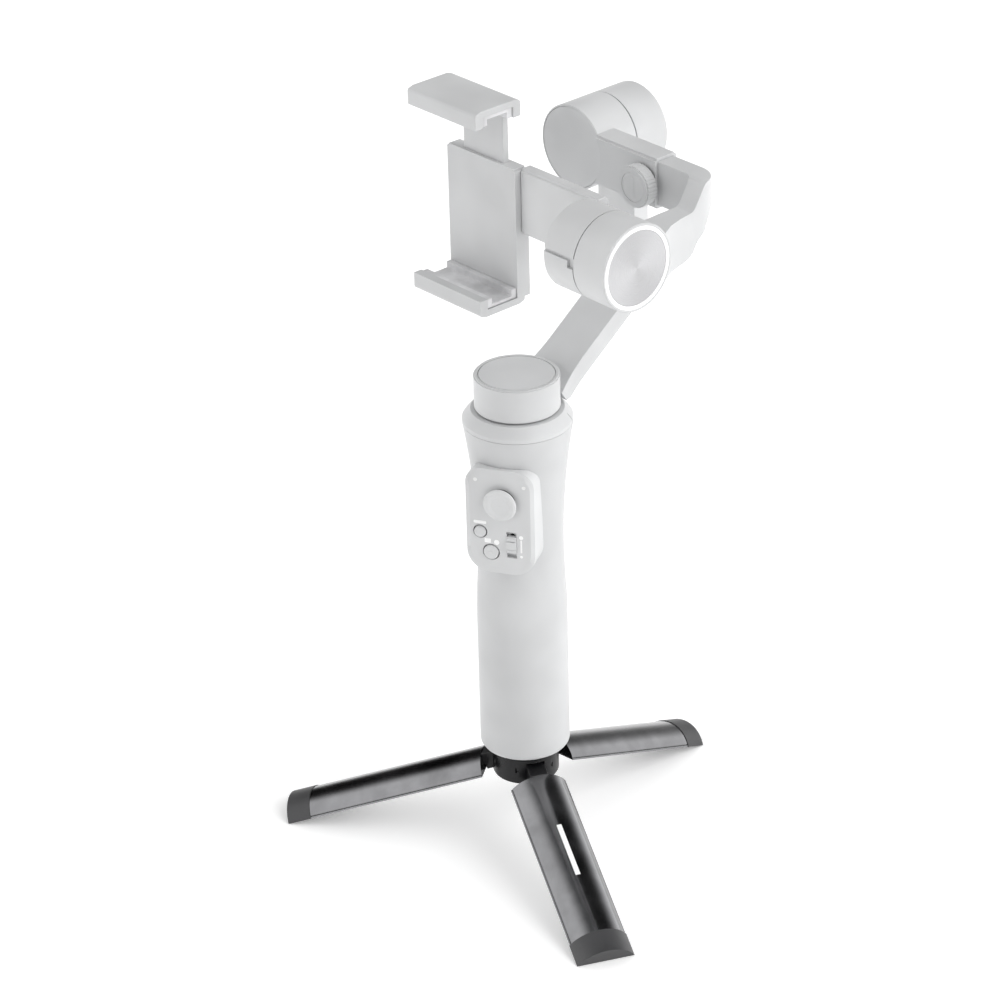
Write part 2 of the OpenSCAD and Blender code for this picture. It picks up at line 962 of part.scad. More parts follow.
module tilt_fixed_case() {
  color(silver) about_tilt()
    difference() {
      union() {
        disc(tilt_r, tilt_seam + 0.25, tilt_x1 - 0.4);
        disc(tilt_r - 0.3, tilt_x1 - 0.5, tilt_x1);
      }
      disc(tilt_r - 2, tilt_seam, tilt_seam + 7.5);
      disc(17.2, tilt_x1 - 2.2, tilt_x1 + 1);
      disc(4.1, tilt_seam, tilt_x1 - 4);
    }
}

module tilt_light_ring() {
  color(white) about_tilt()
    ring(17.15, 15.6, tilt_x1 - 2.15, tilt_x1 - 0.1);
}

module tilt_end_disc() {
  color(steel) about_tilt() {
    disc(15.55, tilt_x1 - 2.15, tilt_x1 - 0.5);
    disc(15.4, tilt_x1 - 0.6, tilt_x1 - 0.3);
  }
}

module tilt_stator_core() {
  color(copper) about_tilt() {
    stator(5.65, 12.6, tilt_seam - 6, tilt_seam + 3);
    ring(5.7, 4.2, tilt_seam - 6, tilt_seam + 7.45);
  }
}

module tilt_bearing() {
  color(steel) about_tilt()
    ring(4.05, 2.05, tilt_seam + 8, tilt_seam + 12.5);
}

// ---- turning half of the tilt motor, with the phone clamp ----

module tilt_rotor_case() {
  color(silver) about_tilt()
    difference() {
      union() {
        disc(tilt_r - 0.7, tilt_x0, tilt_x0 + 1);
        disc(tilt_r, tilt_x0 + 0.8, tilt_seam - 0.25);
      }
      disc(tilt_r - 2.4, tilt_seam - 10, tilt_seam + 1);
      disc(2, tilt_x0 + 3, tilt_seam);
      // ledge along the front, ending in a small notch at the seam
      rotate([0, 0, -90])
        difference() {
          block(tilt_r - 3, 30, -3.8, -2.4, tilt_x0 - 1, tilt_seam - 3.2);
          disc(tilt_r - 1.2, tilt_x0 - 2, tilt_seam);
        }
      rotate([0, 0, -90])
        block(tilt_r - 1.5, 30, -3.8, 0.6, tilt_seam - 3.3, tilt_seam + 1);
    }
}

module tilt_magnet_ring() {
  color(dark) about_tilt()
    ring(tilt_r - 2.45, 13.2, tilt_seam - 9, tilt_seam - 0.5);
}

module tilt_shaft() {
  color(steel) about_tilt()
    disc(1.99, tilt_x0 + 3.05, tilt_seam + 12.3);
}

module clamp_bracket() {
  color(silver) about_pan()
    difference() {
      union() {
        block(jaw_x1 + 0.1, tilt_x0 - 0.02, -1.8, 4.6, tilt_z - 13.5, tilt_z + 13.5);
        block(jaw_x1 + 0.1, tilt_x0 - 0.02, -0.8, 3.6, tilt_z - 14.5, tilt_z + 14.5);
        block(tilt_x0 - 6, tilt_x0 - 0.02, -14, 4.6, tilt_z - 10, tilt_z + 10);
      }
      block(jaw_x1 + 6, tilt_x0 - 12, 3, 6, tilt_z - 8, tilt_z + 8);
    }
}

// One jaw in side view: x is depth from its back, y is height from the phone edge
module jaw_side() {
  difference() {
    polygon([
      [-jaw_d, -lip], [-jaw_d, jaw_top - 1.5], [-jaw_d + 0.5, jaw_top - 0.75], [-jaw_d + 2.9, jaw_top],
      [-2.9, jaw_top], [-0.5, jaw_top - 0.75], [0, jaw_top - 1.5], [0, -lip]
    ]);
    translate([-jaw_d + 4, -10])
      square([jaw_d - 8, 10 + liner_t]);
  }
}

module jaw_liner_side() {
  difference() {
    translate([-jaw_d + 4.1, -lip + 0.3])
      square([jaw_d - 8.2, lip + liner_t - 0.4]);
    translate([-jaw_d / 2 - 5.2, -10])
      square([10.4, 10]);
  }
}

// Both jaws face each other; up = 1 is the upper one
module jaw_place(up) {
  about_pan()
    translate([jaw_x0, 0, up == 1 ? gap_z1 : gap_z0])
      mirror([0, 0, up == 1 ? 0 : 1])
        rotate([90, 0, 90])
          translate([tilt_y + jaw_d / 2, 0])
            children();
}

module clamp_frame() {
  color(silver) {
    jaw_place(0)
      linear_extrude(height = jaw_w)
        jaw_side();
    about_pan()
      difference() {
        union() {
          block(jaw_x0, jaw_x1, -4.6, 2.2, gap_z0 - 2, 317);
          block(jaw_x0 + 1, jaw_x1 - 1, -4.6, 1.4, 316, 318);
        }
        // guide slot of the upper jaw
        block(jaw_xm - 12.06, jaw_xm + 12.06, -3.06, 0.06, gap_z0 + 4, 320);
      }
  }
}

module lower_jaw_liner() {
  color(white)
    jaw_place(0)
      translate([0, 0, 0.6])
        linear_extrude(height = jaw_w - 1.2)
          jaw_liner_side();
}

module upper_jaw() {
  color(silver) {
    jaw_place(1)
      linear_extrude(height = jaw_w)
        jaw_side();
    about_pan()
      block(jaw_xm - 12, jaw_xm + 12, -3, 0, 292, gap_z1 + 1);
  }
}

module upper_jaw_liner() {
  color(white)
    jaw_place(1)
      translate([0, 0, 0.6])
        linear_extrude(height = jaw_w - 1.2)
          jaw_liner_side();
}
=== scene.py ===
import json
import math

import bpy
from mathutils import Matrix, Vector


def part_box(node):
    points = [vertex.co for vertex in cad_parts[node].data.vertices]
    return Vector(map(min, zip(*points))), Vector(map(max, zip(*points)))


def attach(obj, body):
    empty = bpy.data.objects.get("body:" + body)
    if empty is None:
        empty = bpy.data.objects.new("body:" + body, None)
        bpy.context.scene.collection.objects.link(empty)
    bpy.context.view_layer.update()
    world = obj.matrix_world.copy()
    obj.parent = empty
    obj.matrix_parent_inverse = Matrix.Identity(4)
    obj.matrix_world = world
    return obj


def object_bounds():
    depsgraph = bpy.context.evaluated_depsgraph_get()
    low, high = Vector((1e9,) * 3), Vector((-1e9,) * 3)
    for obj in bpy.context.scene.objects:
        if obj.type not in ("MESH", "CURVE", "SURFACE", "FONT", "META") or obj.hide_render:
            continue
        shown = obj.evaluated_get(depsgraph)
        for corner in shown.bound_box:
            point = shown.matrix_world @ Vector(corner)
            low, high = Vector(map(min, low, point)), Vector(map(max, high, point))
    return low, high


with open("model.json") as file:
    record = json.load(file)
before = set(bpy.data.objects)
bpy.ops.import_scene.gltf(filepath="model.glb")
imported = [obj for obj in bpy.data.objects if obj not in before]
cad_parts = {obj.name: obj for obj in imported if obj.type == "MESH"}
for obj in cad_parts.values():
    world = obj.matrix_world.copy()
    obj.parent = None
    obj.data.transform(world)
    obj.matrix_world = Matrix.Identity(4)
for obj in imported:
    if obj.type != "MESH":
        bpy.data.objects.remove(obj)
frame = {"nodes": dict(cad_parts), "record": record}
cad_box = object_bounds()
scene = bpy.context.scene
nodes = frame["nodes"]
MM = 0.001

# Pan axis in the row frame, from the drum's own box
lo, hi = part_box("pan_drum")
pan_x = (lo.x + hi.x) / 2
pan_y = (lo.y + hi.y) / 2


def at(x, y, z):
    """A point given in millimetres from the pan axis and the floor."""
    return Vector((pan_x + x * MM, pan_y + y * MM, z * MM))


# ---- camera ----

CAM_AZ = 48.8
CAM_EL = 27.99
CAM_ROLL = -1.53
CAM_DIST = 1.65187
CAM_LENS = 141.9
CAM_TARGET = at(-5.77, -5.90, 164.69)
az = math.radians(CAM_AZ)
el = math.radians(CAM_EL)
back = Vector((math.sin(az) * math.cos(el), -math.cos(az) * math.cos(el), math.sin(el)))
cam_data = bpy.data.cameras.new("camera")
cam_data.sensor_width = 36
cam_data.lens = CAM_LENS
cam_data.clip_end = 20
camera = bpy.data.objects.new("camera", cam_data)
scene.collection.objects.link(camera)
camera.location = CAM_TARGET + back * CAM_DIST
look = (-back).to_track_quat("-Z", "Y").to_matrix()
camera.rotation_euler = (look @ Matrix.Rotation(math.radians(CAM_ROLL), 3, "Z")).to_euler()
scene.camera = camera

# ---- floor and light ----

FLOOR_HALF = 6.0
FLOOR_GAP = 0.0002
floor_mesh = bpy.data.meshes.new("floor")
corners = [(x * FLOOR_HALF, y * FLOOR_HALF, 0) for x, y in ((-1, -1), (1, -1), (1, 1), (-1, 1))]
floor_mesh.from_pydata(corners, [], [(0, 1, 2, 3)])
floor = bpy.data.objects.new("floor", floor_mesh)
scene.collection.objects.link(floor)
floor.location.z = cad_box[0].z - FLOOR_GAP

# A light tent: bright walls that fade overhead, and an opening where the camera stands.
# Glossy surfaces mirror a lit front and top with one dark patch high at the back.
TENT_LOW = {"From Min": 0.46, "From Max": 0.76, "To Min": 1.45, "To Max": 0.5}
TENT_FRONT = {"From Min": 0.62, "From Max": 0.96, "To Min": 1.0, "To Max": 0.0}
MIRRORED = {"From Min": 0.58, "From Max": 0.84, "To Min": 2.0, "To Max": 0.0}

world = bpy.data.worlds.new("studio")
scene.world = world
world.use_nodes = True
sky = world.node_tree
sky_way = sky.nodes.new("ShaderNodeTexCoord").outputs["Generated"]


def sky_fade(value, limits):
    """A smooth step of the value between the limits."""
    fade = sky.nodes.new("ShaderNodeMapRange")
    fade.interpolation_type = "SMOOTHSTEP"
    for socket, limit in limits.items():
        fade.inputs[socket].default_value = limit
    sky.links.new(value, fade.inputs["Value"])
    return fade.outputs["Result"]


def sky_towards(direction):
    """Cosine of the angle between the looked-up direction and a given one."""
    dot = sky.nodes.new("ShaderNodeVectorMath")
    dot.operation = "DOT_PRODUCT"
    dot.inputs[1].default_value = direction
    sky.links.new(sky_way, dot.inputs[0])
    return dot.outputs["Value"]


sky_power = sky.nodes.new("ShaderNodeMath")
sky_power.operation = "MULTIPLY"
sky.links.new(sky_fade(sky_towards((0, 0, 1)), TENT_LOW), sky_power.inputs[0])
front = (math.sin(az), -math.cos(az), 0)
sky.links.new(sky_fade(sky_towards(front), TENT_FRONT), sky_power.inputs[1])
slant = math.sqrt(0.5)
high_back = (-math.sin(az) * slant, math.cos(az) * slant, slant)
sky_choice = sky.nodes.new("ShaderNodeMix")
sky.links.new(sky.nodes.new("ShaderNodeLightPath").outputs["Is Glossy Ray"], sky_choice.inputs[0])
sky.links.new(sky_power.outputs[0], sky_choice.inputs[2])
sky.links.new(sky_fade(sky_towards(high_back), MIRRORED), sky_choice.inputs[3])
sky.links.new(sky_choice.outputs[0], sky.nodes["Background"].inputs["Strength"])
sky.nodes["Background"].inputs["Color"].default_value = (1, 1, 1, 1)


def softbox(name, place, aim, size, power):
    data = bpy.data.lights.new(name, "AREA")
    data.shape = "RECTANGLE"
    data.size, data.size_y = size
    data.energy = power
    lamp = bpy.data.objects.new(name, data)
    scene.collection.objects.link(lamp)
    lamp.location = place
    lamp.rotation_euler = (Vector(aim) - Vector(place)).to_track_quat("-Z", "Y").to_euler()


sun_data = bpy.data.lights.new("key", "SUN")
sun_data.energy = 0.95
sun_data.angle = math.radians(35)
sun = bpy.data.objects.new("key", sun_data)
scene.collection.objects.link(sun)
sun.rotation_euler = Vector((-0.86, -0.25, -0.95)).to_track_quat("-Z", "Y").to_euler()
softbox("right", (1.3, 0.5, 0.5), (0, 0, 0.15), (0.5, 1.0), 2.5)

scene.view_settings.view_transform = "Standard"

# ---- materials ----


class Graph:
    """A short way to write a material's nodes."""

    def __init__(self, name):
        self.mat = bpy.data.materials.new(name)
        self.mat.use_nodes = True
        self.tree = self.mat.node_tree
        self.shader = self.tree.nodes["Principled BSDF"]

    def node(self, kind, **values):
        n = self.tree.nodes.new(kind)
        for key, value in values.items():
            setattr(n, key, value)
        return n

    def link(self, out, into):
        self.tree.links.new(out, into)

    def coords(self, scale=(1, 1, 1), turn=(0, 0, 0), move=(0, 0, 0)):
        tc = self.node("ShaderNodeTexCoord")
        mp = self.node("ShaderNodeMapping")
        mp.inputs["Scale"].default_value = scale
        mp.inputs["Rotation"].default_value = turn
        mp.inputs["Location"].default_value = move
        self.link(tc.outputs["Object"], mp.inputs["Vector"])
        return mp.outputs["Vector"]

    def noise(self, vector, scale, detail=3.0, rough=0.55):
        n = self.node("ShaderNodeTexNoise")
        n.inputs["Scale"].default_value = scale
        n.inputs["Detail"].default_value = detail
        n.inputs["Roughness"].default_value = rough
        self.link(vector, n.inputs["Vector"])
        return n.outputs["Fac"]

    def ramp(self, value, low, high, out_low, out_high):
        n = self.node("ShaderNodeMapRange")
        n.inputs["From Min"].default_value = low
        n.inputs["From Max"].default_value = high
        n.inputs["To Min"].default_value = out_low
        n.inputs["To Max"].default_value = out_high
        self.link(value, n.inputs["Value"])
        return n.outputs["Result"]

    def mix(self, fac, a, b):
        n = self.node("ShaderNodeMix", data_type="RGBA")
        self.link(fac, n.inputs["Factor"])
        n.inputs[6].default_value = (*a, 1)
        if isinstance(b, bpy.types.NodeSocket):
            self.link(b, n.inputs[7])
        else:
            n.inputs[7].default_value = (*b, 1)
        return n.outputs[2]

    def add(self, a, b, kind="ADD"):
        n = self.node("ShaderNodeMath", operation=kind)
        for i, v in enumerate((a, b)):
            if isinstance(v, bpy.types.NodeSocket):
                self.link(v, n.inputs[i])
            else:
                n.inputs[i].default_value = v
        return n.outputs[0]

    def bump(self, height, strength, distance):
        n = self.node("ShaderNodeBump")
        n.inputs["Strength"].default_value = strength
        n.inputs["Distance"].default_value = distance
        self.link(height, n.inputs["Height"])
        self.link(n.outputs["Normal"], self.shader.inputs["Normal"])

    def edges(self, radius, low=0.02, high=0.22):
        """0 on flats, 1 on convex and concave edges, from the rounded normal."""
        bev = self.node("ShaderNodeBevel", samples=4)
        bev.inputs["Radius"].default_value = radius
        geo = self.node("ShaderNodeNewGeometry")
        dot = self.node("ShaderNodeVectorMath", operation="DOT_PRODUCT")
        self.link(bev.outputs["Normal"], dot.inputs[0])
        self.link(geo.outputs["Normal"], dot.inputs[1])
        return self.ramp(dot.outputs["Value"], 1 - low, 1 - high, 0, 1)


def moulded(name, color, rough=0.42, grain=0.04, coat=0.0, metal=0.0, tint=0.05):
    """Painted or moulded surface: fine grain, slow tone changes, worn edges."""
    g = Graph(name)
    vec = g.coords()
    slow = g.noise(vec, 28, 2.0)
    fine = g.noise(vec, 2600, 2.0, 0.6)
    dark = tuple(c * (1 - tint) for c in color)
    light = tuple(min(1.0, c * (1 + tint)) for c in color)
    tone = g.mix(g.ramp(slow, 0.35, 0.65, 0, 1), dark, light)
    worn = g.node("ShaderNodeMix", data_type="RGBA")
    edge = g.edges(0.0004)
    patch = g.ramp(g.noise(vec, 240, 3.0), 0.45, 0.7, 0.1, 0.8)
    g.link(g.add(edge, patch, "MULTIPLY"), worn.inputs["Factor"])
    g.link(tone, worn.inputs[6])
    worn.inputs[7].default_value = (*(min(1.0, c * 1.12 + 0.02) for c in color), 1)
    g.link(worn.outputs[2], g.shader.inputs["Base Color"])
    g.link(g.ramp(slow, 0.3, 0.7, rough - 0.05, rough + 0.06), g.shader.inputs["Roughness"])
    g.bump(fine, grain, 0.0001)
    g.shader.inputs["Metallic"].default_value = metal
    g.shader.inputs["Specular IOR Level"].default_value = 0.3
    g.shader.inputs["Coat Weight"].default_value = coat
    g.shader.inputs["Coat Roughness"].default_value = 0.25
    return g.mat


def anodised(name, color, rough=0.2):
    """Black anodised bar: fine cloudy etch, a satin gloss and rubbed edges."""
    g = Graph(name)
    vec = g.coords()
    lines = g.noise(vec, 1400, 2.0)
    cloud = g.noise(vec, 60, 3.0)
    fine = g.noise(vec, 5000, 2.0)
    dark = tuple(c * 0.8 for c in color)
    light = tuple(c * 1.25 for c in color)
    tone = g.mix(g.ramp(cloud, 0.3, 0.7, 0, 1), dark, light)
    worn = g.node("ShaderNodeMix", data_type="RGBA")
    edge = g.edges(0.0003)
    patch = g.ramp(g.noise(vec, 320, 4.0), 0.52, 0.72, 0.0, 0.55)
    g.link(g.add(edge, patch, "MULTIPLY"), worn.inputs["Factor"])
    g.link(tone, worn.inputs[6])
    worn.inputs[7].default_value = (0.2, 0.2, 0.21, 1)
    g.link(worn.outputs[2], g.shader.inputs["Base Color"])
    g.link(g.ramp(g.add(lines, cloud), 0.7, 1.3, rough - 0.03, rough + 0.06), g.shader.inputs["Roughness"])
    g.bump(g.add(lines, g.add(fine, 0.5, "MULTIPLY")), 0.03, 0.00005)
    g.shader.inputs["Metallic"].default_value = 1.0
    g.shader.inputs["Coat Weight"].default_value = 0.6
    g.shader.inputs["Coat Roughness"].default_value = 0.12
    return g.mat


def rubber(name, color, rough=0.72):
    """Matt rubber: fine pebble and dusty tone changes."""
    g = Graph(name)
    vec = g.coords()
    slow = g.noise(vec, 90, 3.0)
    cell = g.node("ShaderNodeTexVoronoi")
    cell.inputs["Scale"].default_value = 1900
    g.link(vec, cell.inputs["Vector"])
    fine = g.noise(vec, 3600, 2.0)
    dark = tuple(c * 0.8 for c in color)
    light = tuple(min(1, c * 1.2) for c in color)
    tone = g.mix(g.ramp(slow, 0.3, 0.7, 0, 1), dark, light)
    g.link(tone, g.shader.inputs["Base Color"])
    g.link(g.ramp(slow, 0.3, 0.7, rough - 0.08, rough + 0.08), g.shader.inputs["Roughness"])
    g.bump(g.add(cell.outputs["Distance"], fine), 0.18, 0.00012)
    g.shader.inputs["Sheen Weight"].default_value = 0.15
    return g.mat


def turned(name, color, centre, axis, rough=0.3, pitch=9000, fan=0.0):
    """Turned metal: fine rings about an axis, with fanned highlights."""
    g = Graph(name)
    vec = g.coords(move=tuple(-c for c in centre))
    sep = g.node("ShaderNodeSeparateXYZ")
    g.link(vec, sep.inputs[0])
    a, b = [sep.outputs[i] for i in range(3) if i != axis]
    r2 = g.add(g.add(a, a, "MULTIPLY"), g.add(b, b, "MULTIPLY"))
    radius = g.add(r2, 0.5, "POWER")
    comb = g.node("ShaderNodeCombineXYZ")
    g.link(radius, comb.inputs[0])
    rings = g.noise(comb.outputs[0], pitch, 2.0)
    angle = g.add(b, a, "ARCTAN2")
    fans = g.add(g.add(g.add(angle, 2.0, "MULTIPLY"), 0.9, "ADD"), 0.0, "SINE")
    bright = g.ramp(g.add(g.add(fans, fan, "MULTIPLY"), g.add(rings, 0.25, "MULTIPLY")), -0.5, 0.8, 0, 1)
    tone = g.mix(bright, tuple(c * 0.9 for c in color), tuple(min(1, c * 1.08) for c in color))
    g.link(tone, g.shader.inputs["Base Color"])
    g.link(g.ramp(rings, 0.3, 0.7, rough - 0.07, rough + 0.1), g.shader.inputs["Roughness"])
    g.bump(rings, 0.12, 0.00005)
    g.shader.inputs["Metallic"].default_value = 0.85
    g.shader.inputs["Anisotropic"].default_value = 0.6
    return g.mat


def glow(name, color, strength):
    """Light guide: milky plastic lit from inside."""
    g = Graph(name)
    vec = g.coords()
    cloud = g.noise(vec, 300, 2.0)
    dark = tuple(c * 0.97 for c in color)
    g.link(g.mix(g.ramp(cloud, 0.3, 0.7, 0, 1), dark, color), g.shader.inputs["Base Color"])
    g.link(g.ramp(cloud, 0.3, 0.7, 0.3, 0.4), g.shader.inputs["Roughness"])
    g.shader.inputs["Emission Color"].default_value = (*color, 1)
    g.shader.inputs["Emission Strength"].default_value = strength
    g.bump(g.noise(vec, 3000, 1.0), 0.03, 0.0001)
    return g.mat


floor_graph = Graph("floor")
floor_graph.shader.inputs["Base Color"].default_value = (0.95, 0.95, 0.95, 1)
floor_graph.shader.inputs["Roughness"].default_value = 0.8
floor_graph.shader.inputs["Specular IOR Level"].default_value = 0.1
floor_graph.shader.inputs["Emission Color"].default_value = (1, 1, 1, 1)
floor_graph.shader.inputs["Emission Strength"].default_value = 0.22
floor_mesh.materials.append(floor_graph.mat)

slots = {
    "pale_shell": moulded("pale_shell", (0.575, 0.58, 0.585), 0.4, 0.05),
    "pale_metal": moulded("pale_metal", (0.61, 0.615, 0.62), 0.38, 0.035),
    "panel_grey": moulded("panel_grey", (0.63, 0.635, 0.64), 0.45, 0.07),
    "white_light": glow("white_light", (0.95, 0.95, 0.95), 0.16),
    "brushed": turned("brushed", (0.54, 0.54, 0.55), at(0, -12.7, 303.5), 0, fan=0.6),
    "black_metal": anodised("black_metal", (0.13, 0.13, 0.135)),
    "dark_rubber": rubber("dark_rubber", (0.022, 0.022, 0.024), 0.48),
    "pale_rubber": rubber("pale_rubber", (0.62, 0.62, 0.63), 0.6),
    "steel": turned("steel", (0.5, 0.5, 0.52), at(0, 0, 0), 2),
    "copper_core": moulded("copper_core", (0.5, 0.2, 0.08), 0.35, 0.3, metal=0.8, tint=0.2),
    "magnet": moulded("magnet", (0.08, 0.08, 0.085), 0.3, 0.05, metal=0.8, tint=0.1),
    "board": moulded("board", (0.02, 0.12, 0.05), 0.4, 0.1, tint=0.2),
    "cell_wrap": moulded("cell_wrap", (0.03, 0.1, 0.3), 0.3, 0.02, tint=0.1),
}
slot_of = {s["node"]: s["material_slot"] for s in frame["record"]["subparts"]}


def soften(obj, width, angle=32):
    """Rounds a CAD node's hard edges with modifiers; its own mesh stays as it is."""
    weld = obj.modifiers.new("weld", "WELD")
    weld.merge_threshold = 2e-6
    flat = obj.modifiers.new("flat", "DECIMATE")
    flat.decimate_type = "DISSOLVE"
    flat.angle_limit = math.radians(0.4)
    bevel = obj.modifiers.new("bevel", "BEVEL")
    bevel.width = width
    bevel.segments = 3
    bevel.limit_method = "ANGLE"
    bevel.angle_limit = math.radians(angle)
    bevel.use_clamp_overlap = True
    obj.modifiers.new("normals", "WEIGHTED_NORMAL").keep_sharp = False


for name, obj in nodes.items():
    obj.data.materials.clear()
    obj.data.materials.append(slots[slot_of[name]])

# The moulded hub and knuckles are deeper black than the extruded legs
moulded_black = moulded("moulded_black", (0.006, 0.006, 0.007), 0.3, 0.12, tint=0.2)
for name in ("tripod_hub", "leg_pins", "leg_knuckle_1", "leg_knuckle_2", "leg_knuckle_3"):
    nodes[name].data.materials[0] = moulded_black
nodes["status_lights"].data.materials[0] = moulded("unlit_lens", (0.82, 0.82, 0.82), 0.3, 0.02, tint=0.03)

SOFT = {
    "pan_arm": 0.0009, "balance_arm": 0.0009, "balance_sleeve": 0.0007, "clamp_frame": 0.0006,
    "upper_jaw": 0.0006, "clamp_bracket": 0.0008, "control_pod": 0.0005, "pan_drum": 0.0003,
    "pan_cap": 0.0002, "roll_front_case": 0.00025, "roll_front_cover": 0.0002,
    "roll_rear_case": 0.0003, "roll_rear_cover": 0.0002, "tilt_fixed_case": 0.00025,
    "tilt_rotor_case": 0.0003, "tilt_end_disc": 0.0002, "tilt_light_ring": 0.00012,
    "shoulder_collar": 0.0003, "tripod_hub": 0.0003, "mode_button": 0.0002,
    "record_button": 0.0002, "zoom_slider": 0.0002, "handle_front_shell": 0.0002,
    "handle_rear_shell": 0.0002, "lower_jaw_liner": 0.0003, "upper_jaw_liner": 0.0003,
}
for n in (1, 2, 3):
    SOFT[f"leg_tube_{n}"] = 0.0005
    SOFT[f"leg_knuckle_{n}"] = 0.0004
    SOFT[f"foot_cap_{n}"] = 0.0009
for name, width in SOFT.items():
    soften(nodes[name], width)

# ---- pieces ----


class Solid:
    """Collects verts and faces of one piece, given in millimetres in a local frame."""

    def __init__(self, name, place):
        self.name = name
        self.place = place
        self.verts = []
        self.faces = []

    def add(self, verts, faces):
        base = len(self.verts)
        self.verts += [self.place @ (Vector(v) * MM) for v in verts]
        self.faces += [tuple(base + i for i in f) for f in faces]

    def lathe(self, profile, centre=(0, 0, 0), count=72):
        """Revolves (radius, height) points about local z; first and last close on the axis."""
        cx, cy, cz = centre
        verts = []
        faces = []
        for r, h in profile:
            for k in range(count):
                a = 2 * math.pi * k / count
                verts.append((cx + r * math.cos(a), cy + r * math.sin(a), cz + h))
        for i in range(len(profile) - 1):
            for k in range(count):
                m = (k + 1) % count
                faces.append((i * count + k, i * count + m, (i + 1) * count + m, (i + 1) * count + k))
        faces.append(tuple(reversed(range(count))))
        last = (len(profile) - 1) * count
        faces.append(tuple(range(last, last + count)))
        self.add(verts, faces)

    def slab(self, outline, z0, z1, edge):
        """A plate with a sloped rim; its outline runs anticlockwise about local z."""
        n = len(outline)
        cx = sum(p[0] for p in outline) / n
        cy = sum(p[1] for p in outline) / n
        size = max(math.hypot(x - cx, y - cy) for x, y in outline)
        shrink = 1 - edge / size
        rows = [(1, z0), (1, z1 - edge), (shrink, z1)]
        verts = [(cx + (x - cx) * k, cy + (y - cy) * k, z) for k, z in rows for x, y in outline]
        faces = [tuple(reversed(range(n))), tuple(range(2 * n, 3 * n))]
        for i in range(2):
            for k in range(n):
                m = (k + 1) % n
                faces.append((i * n + k, i * n + m, (i + 1) * n + m, (i + 1) * n + k))
        self.add(verts, faces)

    def make(self, body, slot, material=None):
        mesh = bpy.data.meshes.new(self.name)
        mesh.from_pydata([tuple(v) for v in self.verts], [], self.faces)
        mesh.update()
        mesh.materials.append(material or slots[slot])
        obj = bpy.data.objects.new(self.name, mesh)
        scene.collection.objects.link(obj)
        for face in mesh.polygons:
            face.use_smooth = True
        soften(obj, 0.00008, 40)
        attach(obj, body)
        return obj


def turn(axis, degrees):
    return Matrix.Rotation(math.radians(degrees), 4, axis)


def rounded(w, h, r, steps=6):
    """Anticlockwise outline of a rounded rectangle."""
    pts = []
    for qx, qy, a0 in ((1, 1, 0), (-1, 1, 90), (-1, -1, 180), (1, -1, 270)):
        for i in range(steps + 1):
            a = math.radians(a0 + 90 * i / steps)
            pts.append((qx * (w / 2 - r) + r * math.cos(a), qy * (h / 2 - r) + r * math.sin(a)))
    return pts


def moved(outline, x, y):
    return [(px + x, py + y) for px, py in outline]


def screw(solid, x, y, r, top, drop=0.55):
    """Pan-head screw with a hexagonal socket, standing on local z = top."""
    solid.lathe([(r, -0.2), (r, drop * 0.45), (r * 0.93, drop * 0.8), (r * 0.78, drop), (r * 0.46, drop)],
                (x, y, top), 48)
    n = 6
    angles = [2 * math.pi * k / n for k in range(n)]
    hexagon = [(x + r * 0.4 * math.cos(a), y + r * 0.4 * math.sin(a)) for a in angles]
    verts = [(px, py, top + z) for z in (drop + 0.002, drop * 0.35) for px, py in hexagon]
    faces = [(k, (k + 1) % n, n + (k + 1) % n, n + k) for k in range(n)] + [tuple(range(n, 2 * n))]
    solid.add(verts, faces)


PANEL_YAW = 30
PANEL_Z = 167
PANEL_FACE = 24.5
panel = Matrix.Translation(at(0, 0, PANEL_Z)) @ turn("Z", PANEL_YAW) @ turn("X", 90)

ink = moulded("panel_ink", (0.93, 0.93, 0.93), 0.5, 0.02, tint=0.02)
marks = Solid("panel_marks", panel)
face = PANEL_FACE - 0.02
BARS = ((-9.4, -1.3, 5.6, 1.3, 0.5), (-6.2, -9.6, 2.8, 2.0, 0.4), (8.4, -10.6, 0.7, 6.0, 0.3))
DOTS = ((-2.3, -10.0, 1.15), (8.4, -15.4, 0.6), (8.4, -6.4, 0.9))
for x, z, w, h, r in BARS:
    marks.slab(moved(rounded(w, h, r), x, z), face, face + 0.09, 0.03)
for x, z, r in DOTS:
    marks.lathe([(r, face), (r, face + 0.06), (r - 0.05, face + 0.09)], (x, z, 0), 32)
marks.make("handle", "white_light", ink)

# Dished face and grip bar of the knob
knob_lo, knob_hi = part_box("clamp_knob")
knob_front = Vector(((knob_lo.x + knob_hi.x) / 2, knob_lo.y, (knob_lo.z + knob_hi.z) / 2))
knob = Matrix.Translation(knob_front) @ turn("X", 90)
dish = Solid("knob_face", knob)
dish.lathe([
    (6.1, -0.42), (6.1, -0.12), (5.9, -0.05), (5.2, -0.22),
    (4.9, -0.3), (4.6, -0.22), (0.8, -0.3), (0.3, -0.3),
])
dish.slab(rounded(1.5, 8.6, 0.7), -0.35, -0.04, 0.15)
dish.make("clamp_knob", "panel_grey")

# Charging socket lining and tongue, in the lower back of the grip
port = Matrix.Translation(at(0, 0, 63.7)) @ turn("Z", PANEL_YAW) @ turn("X", -90)
socket = Solid("charging_socket", port)
outer = rounded(9.1, 3.3, 1.5)
inner = rounded(8.3, 2.5, 1.2)
n = len(outer)
PORT_DEEP = 17.4
PORT_MOUTH = 19.0
rims = ((outer, PORT_DEEP), (outer, PORT_MOUTH), (inner, PORT_MOUTH), (inner, PORT_DEEP))
verts = [(x, y, z) for pts, z in rims for x, y in pts]
faces = []
for i in range(3):
    for k in range(n):
        m = (k + 1) % n
        faces.append((i * n + k, i * n + m, (i + 1) * n + m, (i + 1) * n + k))
faces.append(tuple(reversed(range(n))))
socket.add(verts, faces)
socket.slab(rounded(6.6, 0.9, 0.3), PORT_DEEP, PORT_MOUTH - 0.3, 0.12)
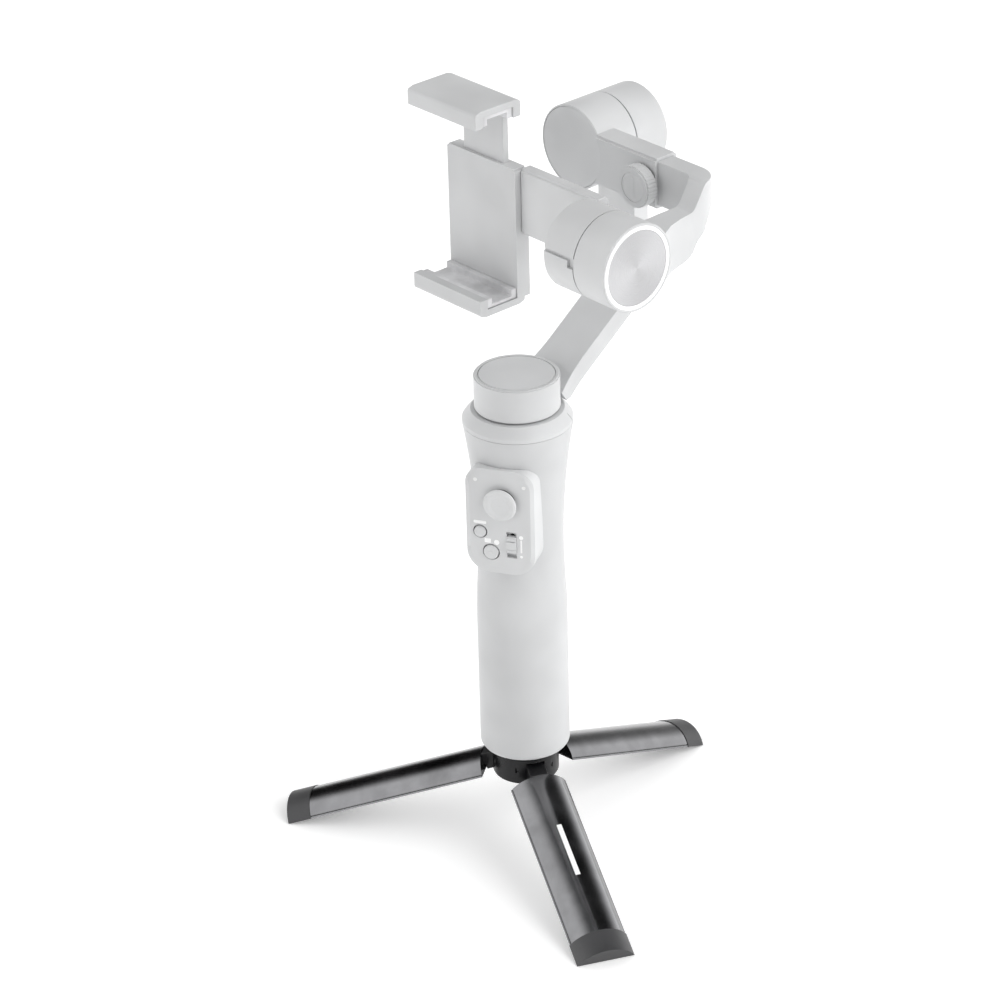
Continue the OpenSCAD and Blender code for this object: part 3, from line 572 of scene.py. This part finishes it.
socket.make("handle", "steel")

# Screws: roll motor cover and the back of the clamp
rear_lo, rear_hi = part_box("roll_rear_cover")
rear = Matrix.Translation(Vector((pan_x, rear_hi.y, (rear_lo.z + rear_hi.z) / 2))) @ turn("X", -90)
screws = Solid("rear_screws", rear)
for k in range(3):
    a = math.radians(90 + 120 * k)
    screw(screws, 10.5 * math.cos(a), 10.5 * math.sin(a), 1.5, -0.3, 0.45)
screws.make("pan_arm", "steel")
frame_lo, frame_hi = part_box("clamp_frame")
mid = (frame_lo.x + frame_hi.x) / 2
clamp_back = Matrix.Translation(Vector((mid, frame_hi.y, 0))) @ turn("X", -90)
plate = Solid("clamp_screws", clamp_back)
for sx in (-1, 1):
    for z in (270, 306):
        screw(plate, sx * 16.5, -z, 1.6, -0.2, 0.5)
plate.make("phone_clamp", "steel")

# Plain printed bar along the front leg
LEG_AZ = -24.2
LEG_SLOPE = 21
LEG_PIVOT = (10.8, 0, 39.85)
R_LEG = 14.35
MID_Z = R_LEG / 4 - R_LEG
MARK_ENDS = (35, 62)
pivot = Matrix.Translation(Vector(LEG_PIVOT) * MM)
leg = Matrix.Translation(at(0, 0, 0)) @ turn("Z", LEG_AZ) @ pivot @ turn("Y", LEG_SLOPE)
bar = Solid("leg_mark", leg)
rows = 8
verts = []
for layer in (0.0, 0.05):
    for i in range(rows + 1):
        a = math.radians(90 + (i - rows / 2) * 1.1)
        for s in MARK_ENDS:
            r = R_LEG - 0.01 + layer
            verts.append((s, r * math.cos(a), MID_Z + r * math.sin(a)))
base = 2 * (rows + 1)
faces = []
for i in range(rows):
    faces.append((2 * i + 1, 2 * i, 2 * i + 2, 2 * i + 3))
    faces.append((base + 2 * i, base + 2 * i + 1, base + 2 * i + 3, base + 2 * i + 2))
    faces.append((2 * i, base + 2 * i, base + 2 * i + 2, 2 * i + 2))
    faces.append((2 * i + 1, 2 * i + 3, base + 2 * i + 3, base + 2 * i + 1))
faces.append((0, 1, base + 1, base))
faces.append((base - 1, base - 2, 2 * base - 2, 2 * base - 1))
bar.add(verts, faces)
bar.make("leg_1", "white_light", ink)
